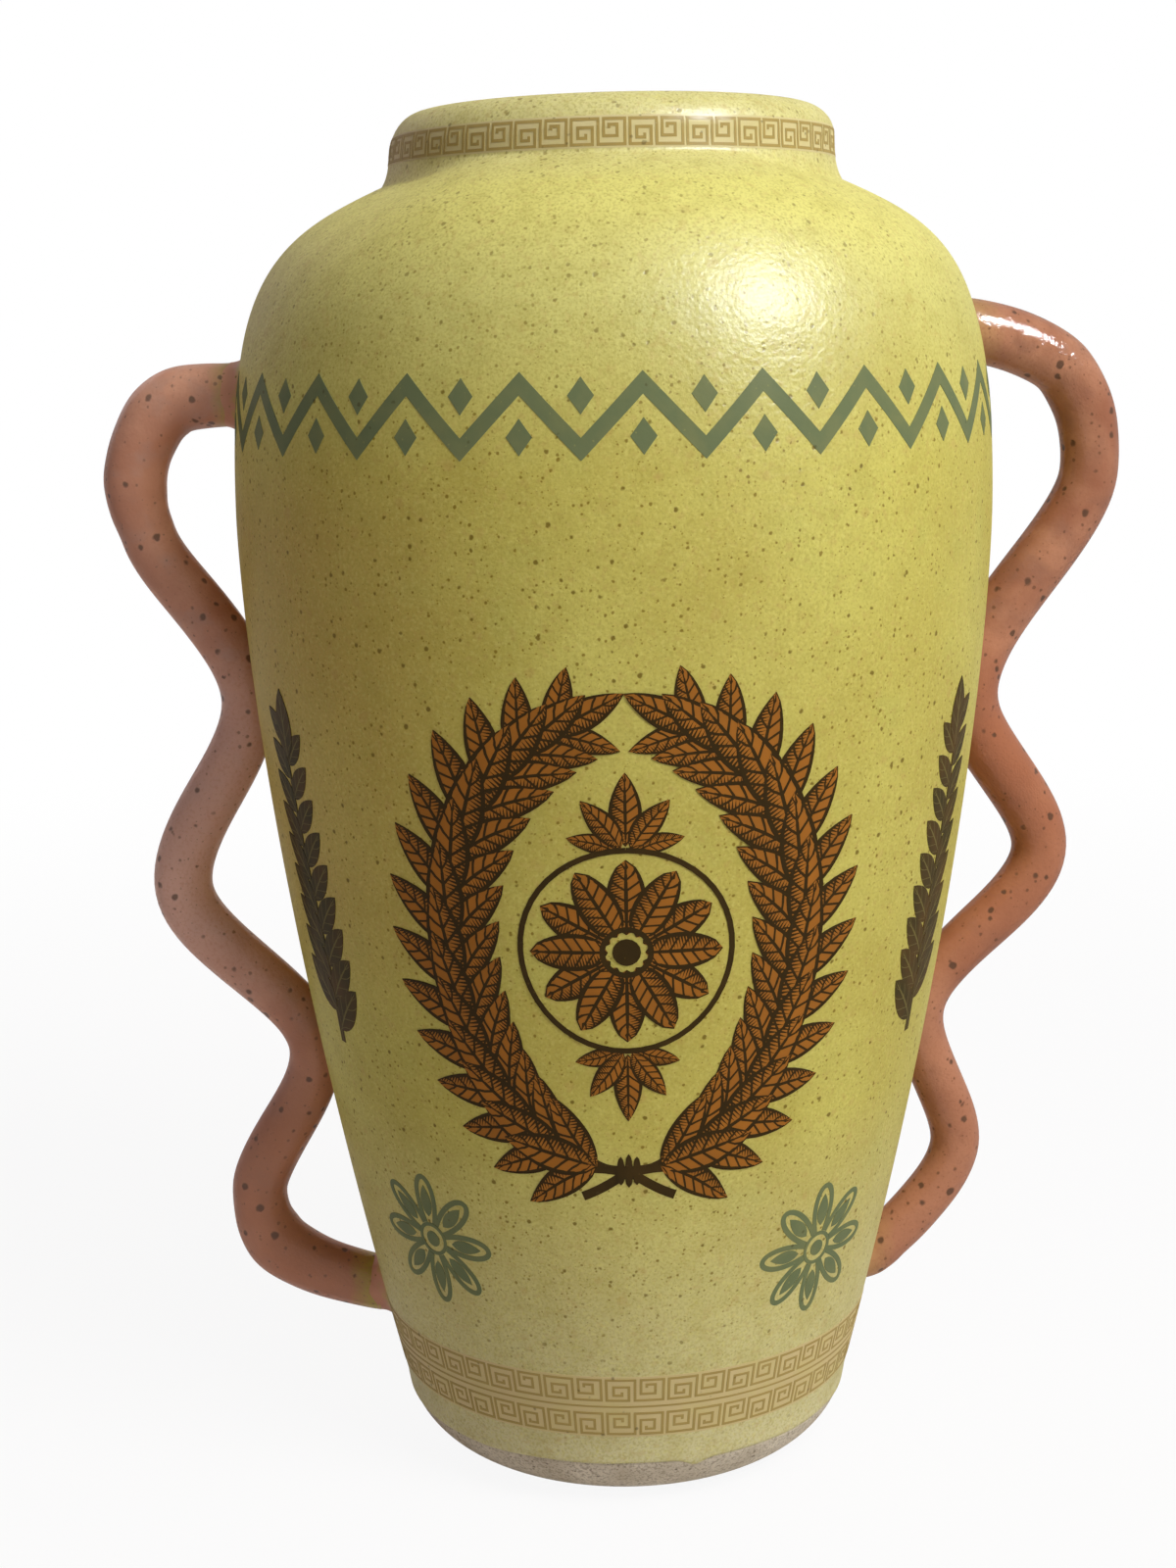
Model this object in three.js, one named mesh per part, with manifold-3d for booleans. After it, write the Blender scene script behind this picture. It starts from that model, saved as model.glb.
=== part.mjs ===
// Amphora vase: a tall thrown jar with a short collar and two wavy handles rolled from clay.
// Millimetres, +Z up. The origin is the middle of the underside, +X points to the right handle
// and -Y to the side with the round medallion.

import * as THREE from "three";
import * as BufferGeometryUtils from "three/addons/utils/BufferGeometryUtils.js";
import Module from "manifold-3d";

const wasm = await Module();
wasm.setup();

// Sizes of the jar
const overallHeight = 421.8;
const bellyRadius = 116.5;
const bellyHeight = 302;
const standingRadius = 48;
const footRounding = 25;
const glazeLineHeight = 16.2;
const swellPower = 1.56;
const shoulderRise = 72.9;
const creaseRadius = 69.9;
const creaseDepth = 22.5;
const creaseReach = 35.4;
const creaseAngle = 24;
const collarRadius = 67.2;

// Sizes of the clay
const wallThickness = 7;
const collarThickness = 12;
const floorThickness = 10;
const lipRounding = 10;
const lipInnerRounding = 4;
const creaseFillet = 4;
const crownThickness = 9;
const floorCove = 12;
const hollowRounding = 18;

// Heights of the joints between the thrown sections; the top one is at the belly
const lowerJointHeight = 160;

// How the thrown sections sit on one another
const stepHeight = 4;
const fitGap = 0.3;

// Fineness of the curved faces
const turnSteps = 56;
const coilSides = 12;
const coilSteps = 60;
const lutingSides = 14;
const leastStep = 1;

// Left handle. Its upper root lies below the crease and its lower one above the base. Between
// them the coil swings out to crests and back to seats on the wall: along is the share of the
// way down, reach is how far the coil's middle stands off the wall. A root's slope is how
// steeply the coil climbs as it leaves the wall.
const leftHandle = {
  turn: 176,
  upperRoot: { drop: 60.8, slope: 0, radius: 9.8 },
  upperBend: { along: 0.0116, reach: 24.7, radius: 10.4 },
  firstCrest: { along: 0.08, reach: 34.7, radius: 9.9 },
  firstFall: { along: 0.151, reach: 31.5, radius: 8.8 },
  firstSeat: { along: 0.324, reach: 5.3, radius: 8.9 },
  secondCrest: { along: 0.541, reach: 37.9, radius: 9.4 },
  secondSeat: { along: 0.7185, reach: 5.6, radius: 8.6 },
  thirdCrest: { along: 0.89, reach: 36.3, radius: 9.1 },
  lowerBend: { along: 0.956, reach: 34.4, radius: 10.2 },
  lowerRoot: { height: 44.5, slope: -0.1, radius: 9 },
};

// Right handle: it starts higher and its lowest loop is smaller
const rightHandle = {
  turn: 12,
  upperRoot: { drop: 45.3, slope: 0.1, radius: 10 },
  upperBend: { along: 0.0425, reach: 34, radius: 9.7 },
  firstCrest: { along: 0.15, reach: 41, radius: 9.4 },
  firstSeat: { along: 0.3725, reach: 5.1, radius: 9.6 },
  secondCrest: { along: 0.557, reach: 37.8, radius: 9 },
  secondSeat: { along: 0.719, reach: 5.4, radius: 8.1 },
  thirdCrest: { along: 0.887, reach: 28, radius: 8.2 },
  lowerBend: { along: 0.984, reach: 11.5, radius: 7.9 },
  lowerRoot: { height: 48, slope: -0.25, radius: 7.7 },
};

// How far a coil runs straight out of the wall, and how deep its end reaches before it is trimmed
const rootStraight = 4;
const rootDepth = 10;

// Luting clay round each handle end
const lutingHeight = 5;
const lutingSpread = 4;
const lutingFeather = 1;

// Colours from the photograph
const glazeColour = 0xb9ad63;
const handleColour = 0x9c6c54;
const rawClayColour = 0x988c77;
const lutingColour = 0x8f6a4c;

// Outer profile of the jar, from the middle of the underside to the top of the lip

const creaseHeight = overallHeight - creaseDepth;
const roundingMiddle = new THREE.Vector2(standingRadius, footRounding);

function footPoint(angle) {
  return new THREE.Vector2(
    roundingMiddle.x + footRounding * Math.cos(angle),
    roundingMiddle.y + footRounding * Math.sin(angle),
  );
}

// The foot's arc up to the glaze line, then on to where the wall takes over
const glazeLineAngle = Math.asin((glazeLineHeight - footRounding) / footRounding);
const wallStartAngle = THREE.MathUtils.degToRad(-7);
const wallStart = footPoint(wallStartAngle);

function footArc(fromAngle, toAngle, steps) {
  const points = [];
  for (let step = 0; step <= steps; step += 1) {
    points.push(footPoint(fromAngle + ((toAngle - fromAngle) * step) / steps));
  }
  return points;
}

// The lower wall swells quickly above the foot and runs almost upright into the belly
function lowerWall(steps) {
  const points = [];
  for (let step = 0; step <= steps; step += 1) {
    const share = step / steps;
    points.push(new THREE.Vector2(
      bellyRadius - (bellyRadius - wallStart.x) * (1 - share) ** swellPower,
      THREE.MathUtils.lerp(wallStart.y, bellyHeight, share),
    ));
  }
  return points;
}

// The shoulder turns over from the upright belly to the sloping crease below the collar
function shoulderCurve() {
  const slope = THREE.MathUtils.degToRad(creaseAngle);
  return new THREE.CubicBezierCurve(
    new THREE.Vector2(bellyRadius, bellyHeight),
    new THREE.Vector2(bellyRadius, bellyHeight + shoulderRise),
    new THREE.Vector2(
      creaseRadius + creaseReach * Math.cos(slope),
      creaseHeight - creaseReach * Math.sin(slope),
    ),
    new THREE.Vector2(creaseRadius, creaseHeight),
  );
}

const footProfile = footArc(-Math.PI / 2, glazeLineAngle, 6);
const lowerProfile = [
  ...footArc(glazeLineAngle, wallStartAngle, 3).slice(0, -1),
  ...lowerWall(12),
];
const shoulderProfile = shoulderCurve().getPoints(13);

// Collar: a fillet out of the crease, upright, with a large round outside and a small one inside
const collarInside = collarRadius - collarThickness;
const lipStart = overallHeight - lipRounding;

const collarFlare = new THREE.QuadraticBezierCurve(
  new THREE.Vector2(creaseRadius, creaseHeight),
  new THREE.Vector2(collarRadius, creaseHeight + creaseFillet),
  new THREE.Vector2(collarRadius, lipStart),
);

function quarterRound(middle, across, upwards, fromAngle, steps) {
  const points = [];
  for (let step = 0; step <= steps; step += 1) {
    const angle = fromAngle + (Math.PI / 2) * (step / steps);
    points.push(new THREE.Vector2(
      middle.x + across * Math.cos(angle),
      middle.y + upwards * Math.sin(angle),
    ));
  }
  return points;
}

const lipOutside = quarterRound(
  new THREE.Vector2(collarRadius - lipRounding, lipStart), lipRounding, lipRounding, 0, 6,
);
const lipInside = quarterRound(
  new THREE.Vector2(collarRadius - lipRounding, overallHeight - lipInnerRounding),
  collarThickness - lipRounding, lipInnerRounding, Math.PI / 2, 2,
);

// The whole outside from foot to crease, for the handles to follow
const outside = [...footProfile, ...lowerProfile.slice(1), ...shoulderProfile.slice(1)];

function wallRadius(height) {
  for (let at = 1; at < outside.length; at += 1) {
    if (outside[at].y >= height) {
      const below = outside[at - 1];
      const share = (height - below.y) / (outside[at].y - below.y);
      return THREE.MathUtils.lerp(below.x, outside[at].x, share);
    }
  }
  return creaseRadius;
}

// A profile moved along its own normals: positive distances go outwards
function offsetProfile(points, distance) {
  return points.map((point, at) => {
    const before = points[Math.max(at - 1, 0)];
    const after = points[Math.min(at + 1, points.length - 1)];
    const along = new THREE.Vector2().subVectors(after, before).normalize();
    return new THREE.Vector2(point.x + along.y * distance, point.y - along.x * distance);
  });
}

// Inside of the hollow: the outside moved in by the wall's thickness, down to a rounded floor
const hollowSide = offsetProfile([...lowerProfile, ...shoulderProfile.slice(1)], -wallThickness)
  .filter((point, at) => at % 2 === 0 && point.y > floorThickness + hollowRounding);
const jointHeight = glazeLineHeight;

function hollowRadius(height) {
  for (let at = 1; at < hollowSide.length; at += 1) {
    if (hollowSide[at].y >= height) {
      const below = hollowSide[at - 1];
      const share = (height - below.y) / (hollowSide[at].y - below.y);
      return THREE.MathUtils.lerp(below.x, hollowSide[at].x, share);
    }
  }
  return hollowSide.at(-1).x;
}

// Points of a profile between two heights, upwards, with new ones where it is cut off
function between(profile, radiusAt, low, high) {
  return [
    new THREE.Vector2(radiusAt(low), low),
    ...profile.filter((point) => point.y > low + leastStep && point.y < high - leastStep),
    new THREE.Vector2(radiusAt(high), high),
  ];
}

const hollowBetween = (low, high) => between(hollowSide, hollowRadius, low, high);
const outsideBetween = (low, high) => between(outside, wallRadius, low, high);

// Solids

// A mesh with merged corners as a solid that can be cut
function solid(geometry) {
  const bare = geometry.clone();
  bare.deleteAttribute("normal");
  bare.deleteAttribute("uv");
  const merged = BufferGeometryUtils.mergeVertices(bare, 1e-4);
  return new wasm.Manifold(new wasm.Mesh({
    numProp: 3,
    vertProperties: Float32Array.from(merged.attributes.position.array),
    triVerts: Uint32Array.from(merged.index.array),
  }));
}

// A solid back as a three.js geometry with flat faces
function geometryOf(body) {
  const mesh = body.getMesh();
  const geometry = new THREE.BufferGeometry();
  geometry.setAttribute("position", new THREE.BufferAttribute(Float32Array.from(mesh.vertProperties), 3));
  geometry.setIndex(new THREE.BufferAttribute(Uint32Array.from(mesh.triVerts), 1));
  const faceted = geometry.toNonIndexed();
  faceted.computeVertexNormals();
  return faceted;
}

// A profile turned round the Z axis
function turned(profile) {
  return new THREE.LatheGeometry(profile, turnSteps).rotateX(Math.PI / 2);
}

const materials = {
  glaze: new THREE.MeshStandardMaterial({ color: glazeColour, roughness: 0.35, metalness: 0 }),
  handle: new THREE.MeshStandardMaterial({ color: handleColour, roughness: 0.3, metalness: 0 }),
  rawClay: new THREE.MeshStandardMaterial({ color: rawClayColour, roughness: 0.9, metalness: 0 }),
  luting: new THREE.MeshStandardMaterial({ color: lutingColour, roughness: 0.35, metalness: 0 }),
};

const vase = new THREE.Group();

function addPiece(name, geometry, material) {
  const piece = new THREE.Mesh(geometry, material);
  piece.name = name;
  vase.add(piece);
}

// Foot: the solid base with its unglazed rounded edge and an upstanding ring that centres the wall

const footTop = wallRadius(jointHeight);
const footRebate = (footTop + hollowRadius(floorThickness + hollowRounding)) / 2;
const footRing = footRebate - fitGap / 2;
const ringInside = footRing - wallThickness / 2;

addPiece("foot", turned([
  new THREE.Vector2(0, 0),
  ...footProfile,
  new THREE.Vector2(footRing, jointHeight),
  new THREE.Vector2(footRing, jointHeight + stepHeight),
  new THREE.Vector2(ringInside, jointHeight + stepHeight),
  new THREE.Vector2(ringInside - floorCove / 4, floorThickness + floorCove / 4),
  new THREE.Vector2(ringInside - floorCove, floorThickness),
  new THREE.Vector2(0, floorThickness),
]), materials.rawClay);

// Walls: each section ends in an outer ledge, and the next one's inner lip reaches down behind it

const wallFloor = jointHeight + stepHeight + fitGap;

function middleOfWall(height) {
  return (wallRadius(height) + hollowRadius(height)) / 2;
}

// The ledge at the top of a section, from the outside inwards and down to its own hollow
function ledgeAt(height) {
  return [
    new THREE.Vector2(middleOfWall(height) + fitGap / 2, height),
    new THREE.Vector2(middleOfWall(height) + fitGap / 2, height - stepHeight),
  ];
}

// The lip at the bottom of a section, from its hollow out to where it rests on the ledge below
function lipAt(height) {
  return [
    new THREE.Vector2(middleOfWall(height) - fitGap / 2, height - stepHeight + fitGap),
    new THREE.Vector2(middleOfWall(height) - fitGap / 2, height),
  ];
}

// Lower wall: it stands on the foot's ledge, round the foot's upstanding ring
addPiece("lower_wall", turned([
  new THREE.Vector2(footRebate + fitGap / 2, jointHeight),
  ...outsideBetween(jointHeight, lowerJointHeight),
  ...ledgeAt(lowerJointHeight),
  ...hollowBetween(wallFloor + hollowRounding, lowerJointHeight - stepHeight).reverse(),
  new THREE.Vector2(ringInside + fitGap, wallFloor),
  new THREE.Vector2(footRebate + fitGap / 2, wallFloor),
  new THREE.Vector2(footRebate + fitGap / 2, jointHeight),
]), materials.glaze);

// Middle wall: up to the belly
addPiece("middle_wall", turned([
  ...lipAt(lowerJointHeight),
  ...outsideBetween(lowerJointHeight, bellyHeight),
  ...ledgeAt(bellyHeight),
  ...hollowBetween(lowerJointHeight - stepHeight + fitGap, bellyHeight - stepHeight).reverse(),
  lipAt(lowerJointHeight)[0],
]), materials.glaze);

// Shoulder wall: its top is a flat ring with a step for the collar

const collarStep = (creaseRadius + collarInside) / 2;

addPiece("shoulder_wall", turned([
  ...lipAt(bellyHeight),
  ...outsideBetween(bellyHeight, creaseHeight),
  new THREE.Vector2(collarStep + fitGap / 2, creaseHeight),
  new THREE.Vector2(collarStep + fitGap / 2, creaseHeight - stepHeight),
  new THREE.Vector2(collarInside, creaseHeight - stepHeight),
  ...hollowBetween(bellyHeight - stepHeight + fitGap, creaseHeight - crownThickness).reverse(),
  lipAt(bellyHeight)[0],
]), materials.glaze);

// Neck collar: a short upright ring with a rounded lip, stepped into the shoulder

addPiece("neck_collar", turned([
  ...collarFlare.getPoints(3),
  ...lipOutside.slice(1),
  ...lipInside.slice(1),
  new THREE.Vector2(collarInside, creaseHeight - stepHeight + fitGap),
  new THREE.Vector2(collarStep - fitGap / 2, creaseHeight - stepHeight + fitGap),
  new THREE.Vector2(collarStep - fitGap / 2, creaseHeight),
  new THREE.Vector2(creaseRadius, creaseHeight),
]), materials.glaze);

// Wavy handles: one rolled coil each, from the shoulder out and in along the wall to the foot

function onPlane(handle, radius, height) {
  const angle = THREE.MathUtils.degToRad(handle.turn);
  return new THREE.Vector3(radius * Math.cos(angle), radius * Math.sin(angle), height);
}

function rootHeight(handle, end) {
  return end === handle.upperRoot ? creaseHeight - end.drop : end.height;
}

// A point of the coil near a root: some way out of the wall, or inside it where outwards is negative
function rootStop(handle, end, outwards) {
  return {
    height: rootHeight(handle, end) + end.slope * outwards,
    reach: outwards,
    radius: end.radius,
  };
}

// The stops from top to bottom: root, bends, crests and seats in turn, root
function handleStops(handle) {
  const top = rootHeight(handle, handle.upperRoot);
  const bottom = rootHeight(handle, handle.lowerRoot);
  const turns = Object.values(handle).filter((value) => value.along !== undefined);
  return [
    rootStop(handle, handle.upperRoot, -rootDepth),
    rootStop(handle, handle.upperRoot, rootStraight),
    ...turns.map((turn) => ({ ...turn, height: THREE.MathUtils.lerp(top, bottom, turn.along) })),
    rootStop(handle, handle.lowerRoot, rootStraight),
    rootStop(handle, handle.lowerRoot, -rootDepth),
  ];
}

function handlePath(handle) {
  const points = handleStops(handle).map((stop) => (
    onPlane(handle, wallRadius(stop.height) + stop.reach, stop.height)
  ));
  return new THREE.CatmullRomCurve3(points, false, "centripetal");
}

// How thick the coil is at a height: the radii at the two nearest stops, blended
function coilRadius(handle, height) {
  const stops = handleStops(handle);
  const next = stops.findIndex((stop, at) => at > 0 && stop.height <= height);
  if (next < 0) {
    return stops.at(-1).radius;
  }
  const above = stops[next - 1];
  const below = stops[next];
  const share = (above.height - height) / Math.max(above.height - below.height, leastStep);
  return THREE.MathUtils.lerp(above.radius, below.radius, THREE.MathUtils.clamp(share, 0, 1));
}

// A round coil along the handle's path, a little thicker or thinner as the hand rolled it
function coil(handle, extraRadius) {
  const path = handlePath(handle);
  const section = new THREE.Shape();
  for (let side = 0; side < coilSides; side += 1) {
    const angle = (2 * Math.PI * side) / coilSides;
    const corner = [Math.cos(angle), Math.sin(angle)];
    if (side === 0) {
      section.moveTo(...corner);
    } else {
      section.lineTo(...corner);
    }
  }
  const tube = new THREE.ExtrudeGeometry(section, {
    steps: coilSteps,
    bevelEnabled: false,
    extrudePath: path,
  });
  const centres = path.getSpacedPoints(coilSteps);
  // The corners stand out a little, so that the flats and corners together are as thick as the coil
  const cornerReach = 2 / (1 + Math.cos(Math.PI / coilSides));
  const corners = tube.attributes.position;
  const corner = new THREE.Vector3();
  for (let at = 0; at < corners.count; at += 1) {
    corner.fromBufferAttribute(corners, at);
    const centre = centres.reduce((best, next) => (
      Math.abs(next.distanceTo(corner) - 1) < Math.abs(best.distanceTo(corner) - 1) ? next : best
    ));
    const radius = coilRadius(handle, centre.z) * cornerReach + extraRadius;
    corner.sub(centre).multiplyScalar(radius).add(centre);
    corners.setXYZ(at, corner.x, corner.y, corner.z);
  }
  return solid(tube);
}

// The jar's outside moved out by the fit gap, as a cutter for all that sits against the wall
const wallCutter = solid(turned([
  new THREE.Vector2(0, -wallThickness),
  new THREE.Vector2(standingRadius, -wallThickness),
  ...offsetProfile(outside.slice(1), fitGap),
  new THREE.Vector2(0, creaseHeight + wallThickness),
]));

// Luting clay: a hollow-sided ring that feathers out from the coil onto the wall
function luting(handle, end, coilCutter) {
  const profile = [new THREE.Vector2(0, -lutingSpread * 2)];
  profile.push(new THREE.Vector2(end.radius + lutingSpread, -lutingSpread * 2));
  for (let step = 0; step <= 3; step += 1) {
    const angle = (Math.PI / 2) * (step / 3);
    profile.push(new THREE.Vector2(
      end.radius + lutingFeather + (lutingSpread - lutingFeather) * (1 - Math.sin(angle)),
      lutingHeight * (1 - Math.cos(angle)),
    ));
  }
  profile.push(new THREE.Vector2(0, lutingHeight));
  const ring = new THREE.LatheGeometry(profile, lutingSides);
  const slope = Math.atan(end.slope);
  const outwards = onPlane(handle, Math.cos(slope), Math.sin(slope));
  ring.applyQuaternion(new THREE.Quaternion().setFromUnitVectors(new THREE.Vector3(0, 1, 0), outwards));
  const height = rootHeight(handle, end);
  ring.translate(...onPlane(handle, wallRadius(height), height));
  return solid(ring).subtract(wallCutter).subtract(coilCutter);
}

// A cut can leave crumbs away from the piece: only the largest part is kept
function largestPart(body) {
  return body.decompose().sort((a, b) => b.volume() - a.volume())[0];
}

for (const [side, handle] of [["left", leftHandle], ["right", rightHandle]]) {
  const coilCutter = coil(handle, fitGap);
  addPiece(`${side}_handle`, geometryOf(largestPart(coil(handle, 0).subtract(wallCutter))), materials.handle);
  for (const [place, end] of [["upper", handle.upperRoot], ["lower", handle.lowerRoot]]) {
    const ring = largestPart(luting(handle, end, coilCutter));
    addPiece(`${side}_${place}_luting`, geometryOf(ring), materials.luting);
  }
}

export default vase;
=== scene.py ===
from math import comb, cos, pi, radians, sin

import bpy
import numpy as np
from mathutils import Matrix, Vector


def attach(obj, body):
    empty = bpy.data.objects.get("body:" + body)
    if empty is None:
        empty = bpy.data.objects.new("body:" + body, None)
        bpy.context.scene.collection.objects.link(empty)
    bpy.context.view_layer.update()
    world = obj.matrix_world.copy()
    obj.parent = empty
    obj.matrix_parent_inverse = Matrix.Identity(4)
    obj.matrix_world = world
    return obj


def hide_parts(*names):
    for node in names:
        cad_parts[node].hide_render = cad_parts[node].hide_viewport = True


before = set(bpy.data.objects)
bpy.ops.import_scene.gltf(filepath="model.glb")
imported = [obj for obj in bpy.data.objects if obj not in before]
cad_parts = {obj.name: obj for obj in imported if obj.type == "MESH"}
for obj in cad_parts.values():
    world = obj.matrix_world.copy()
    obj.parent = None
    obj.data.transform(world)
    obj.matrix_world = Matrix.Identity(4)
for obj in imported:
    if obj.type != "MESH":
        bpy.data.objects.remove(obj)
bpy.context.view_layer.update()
mm = 0.001

# Lengths below are millimetres; angles round the jar count from the front, to the right

camera = dict(
    distance=736.6,
    eyeHeight=357.4,
    pitch=radians(10.999),
    roll=radians(-0.984),
    yaw=radians(-0.733),
    lens=54.0,
    sensor=36.0,
)


def newObject(name, data):
    made = bpy.data.objects.new(name, data)
    bpy.context.scene.collection.objects.link(made)
    return made


def makeCamera(c):
    # turned by the roll about the way it looks, tipped up to the pitch, then turned by the yaw about upright
    data = bpy.data.cameras.new("camera")
    data.sensor_fit = "VERTICAL"
    data.sensor_height = c["sensor"]
    data.lens = c["lens"]
    obj = newObject("camera", data)
    obj.matrix_world = Matrix.Translation((0, -c["distance"] * mm, c["eyeHeight"] * mm))
    for turn, axis in ((-c["yaw"], "Z"), (pi / 2 - c["pitch"], "X"), (c["roll"], "Z")):
        obj.matrix_world = obj.matrix_world @ Matrix.Rotation(turn, 4, axis)
    bpy.context.scene.camera = obj


makeCamera(camera)
print("camera set")


# Materials

def paint(red, green, blue):
    # a screen colour of 0 to 255 as the shader's own numbers
    share = np.array([red, green, blue]) / 255
    return [*np.where(share > 0.04045, ((share + 0.055) / 1.055) ** 2.4, share / 12.92).tolist(), 1.0]


class Nodes:
    # short ways to add and wire shader nodes; main is the node that makes a material's or world's light
    def __init__(self, owner, main):
        owner.use_nodes = True
        self.owner = owner
        self.tree = owner.node_tree
        self.main = self.tree.nodes[main]
        self.place = self.add("TexCoord").outputs["Object"]

    def feed(self, node, values):
        # a socket among the values is wired to its input, and any other value is typed in
        for key, value in values.items():
            if isinstance(value, bpy.types.NodeSocket):
                self.tree.links.new(value, node.inputs[key])
            else:
                node.inputs[key].default_value = value
        return node

    def add(self, kind, values={}, **fields):
        made = self.tree.nodes.new("ShaderNode" + kind)
        for key, value in fields.items():
            setattr(made, key, value)
        return self.feed(made, values)

    def maths(self, operation, first, second=0.0):
        return self.add("Math", {0: first, 1: second}, operation=operation).outputs[0]

    def plus(self, base, value, share):
        # a share of value added to base
        return self.add("Math", {0: value, 1: share, 2: base}, operation="MULTIPLY_ADD").outputs[0]

    def noise(self, size, detail=3.0):
        # size is the length of one swell in millimetres
        values = {"Vector": self.place, "Scale": 1 / (size * mm), "Detail": detail}
        return self.add("TexNoise", values).outputs["Fac"]

    def spread(self, value, low, high, toLow=0.0, toHigh=1.0, **fields):
        # low to high becomes toLow to toHigh, evenly, and stays at the ends beyond them
        values = {"Value": value, "From Min": low, "From Max": high, "To Min": toLow, "To Max": toHigh}
        return self.add("MapRange", values, **fields).outputs[0]

    def axes(self, place):
        return self.add("SeparateXYZ", {"Vector": place}).outputs

    def between(self, value, over, under):
        # 1 above one edge and under the other, each edge a fade
        return self.maths("MULTIPLY", self.spread(value, *over), self.spread(value, *under))

    def mix(self, share, first, second):
        return self.add("Mix", {0: share, 6: first, 7: second}, data_type="RGBA").outputs[2]

    def fade(self, body, colour, value, start, end, most=1.0):
        # body turns into colour, up to the share most, while value goes from start to end
        return self.mix(self.spread(value, start, end, 0.0, most), body, colour)

    def over(self, body, colour, mask, share):
        # colour laid over body through a mask, thinned to a share
        return self.mix(self.maths("MULTIPLY", mask, share), body, colour)

    def specks(self, cell, share, largest, ragged=0.8, soft=0.4):
        # a ball in a share of the cells, cut by the surface: ball radius minus distance to the cell's seed
        shake = self.maths("MULTIPLY", self.noise(largest * 1.3, 1.0), largest * ragged * mm)
        shaken = self.add("VectorMath", {0: self.place, 1: shake}, operation="ADD")
        cells = self.add("TexVoronoi", {"Vector": shaken.outputs[0], "Scale": 1 / (cell * mm)})
        lot = self.add("SeparateColor", {"Color": cells.outputs["Color"]}).outputs["Red"]
        radius = self.spread(lot, 1 - share, 1.0, 0.0, largest / cell, clamp=False)
        inside = self.maths("SUBTRACT", radius, cells.outputs["Distance"])
        return self.spread(inside, 0.0, soft * largest / cell)

    def tint(self, body, look, rows):
        # clouds laid on one after another where a noise is strong enough
        for tone, most, size, detail, start, end in look[rows]:
            body = self.fade(body, look[tone], self.noise(size, detail), start, end, most)
        return body

    def strew(self, body, look, rows):
        # specks laid on one kind after another; the last kind's mask is handed back too
        for tone, share, *values in look[rows]:
            mask = self.specks(*values)
            body = self.over(body, look[tone], mask, share)
        return body, mask

    def finish(self, colour, height, strength, distance, coatDistance=0.3):
        # the glassy coat is as uneven as orange peel, so its bumps may be deeper than the body's
        ends = {"Base Color": colour}
        for socket, deep in (("Normal", distance), ("Coat Normal", coatDistance)):
            bump = self.add("Bump", {"Strength": strength, "Distance": deep * mm, "Height": height})
            ends[socket] = bump.outputs["Normal"]
        self.feed(self.main, ends)
        return self.owner


def newMaterial(name, roughness, coat=0.0, coatRoughness=0.2, specular=0.0):
    # gloss comes from the coat alone unless specular is given
    n = Nodes(bpy.data.materials.new(name), "Principled BSDF")
    n.feed(n.main, {"Roughness": roughness, "Specular IOR Level": specular})
    n.feed(n.main, {"Coat Weight": coat, "Coat Roughness": coatRoughness})
    return n


# clouds: tone, its share, size of a swell, detail, where in the noise it starts and where it is full
# heights: tone, its share, where it starts and where it is full in metres above the floor
# specks: tone, its share, size of a cell, share of the cells, largest radius, how ragged, how soft

limeGlazeLook = dict(
    pale=paint(203, 194, 98),
    deep=paint(190, 177, 84),
    green=paint(188, 184, 92),
    clouds=(("pale", 1.0, 60, 3.0, 0.38, 0.64), ("green", 0.5, 19, 4.0, 0.55, 0.72)),
    thin=paint(211, 204, 160),  # where the glaze lies thinner
    # painted sheen: the shoulder is paler and whiter, standing in for the gloss it shows
    shoulder=paint(211, 207, 131),
    upperShoulderLight=paint(228, 219, 122),  # painted light: brighter and yellower round the neck's foot, where the shoulder turns up to the lamps above
    heights=(
        ("thin", 0.9, 0.13, 0.014),
        ("shoulder", 0.8, 0.32, 0.38),
        ("upperShoulderLight", 0.6, 0.364, 0.388),
        ("thin", 0.5, 0.396, 0.406),
    ),
    shadedSideBrown=paint(194, 146, 82),  # painted shade: the middle of the left side, which lies in shade, is browner
    shadedSideOver=(0.15, 0.2),
    shadedSideUnder=(0.335, 0.3),
    shadedSideAcross=(-0.015, -0.075, 0.0, 0.42),  # metres to the right, and shares
    grain=paint(168, 154, 68),
    light=paint(222, 216, 124),
    blush=paint(184, 148, 82),
    grains=(
        ("grain", 0.5, 0.8, 2.0, 0.46, 0.7),
        ("light", 0.3, 1.1, 2.0, 0.5, 0.3),
        ("blush", 0.28, 2.4, 3.0, 0.54, 0.72),
        ("grain", 0.22, 9, 3.0, 0.46, 0.7),
    ),
    speck=paint(110, 88, 16),
    middleSpeck=paint(124, 100, 20),
    fineSpeck=paint(138, 114, 26),
    specks=(
        ("blush", 0.3, 7, 0.7, 2.2),
        ("fineSpeck", 0.65, 1.4, 0.9, 0.38),
        ("middleSpeck", 0.8, 2.0, 0.9, 0.66),
        ("speck", 0.85, 3.4, 0.6, 0.92),
    ),
    fewerByFoot=(0.09, 0.018, 0.0, 0.75),
    fewerOnShoulder=(0.32, 0.37, 0.0, 0.35),
)


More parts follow.
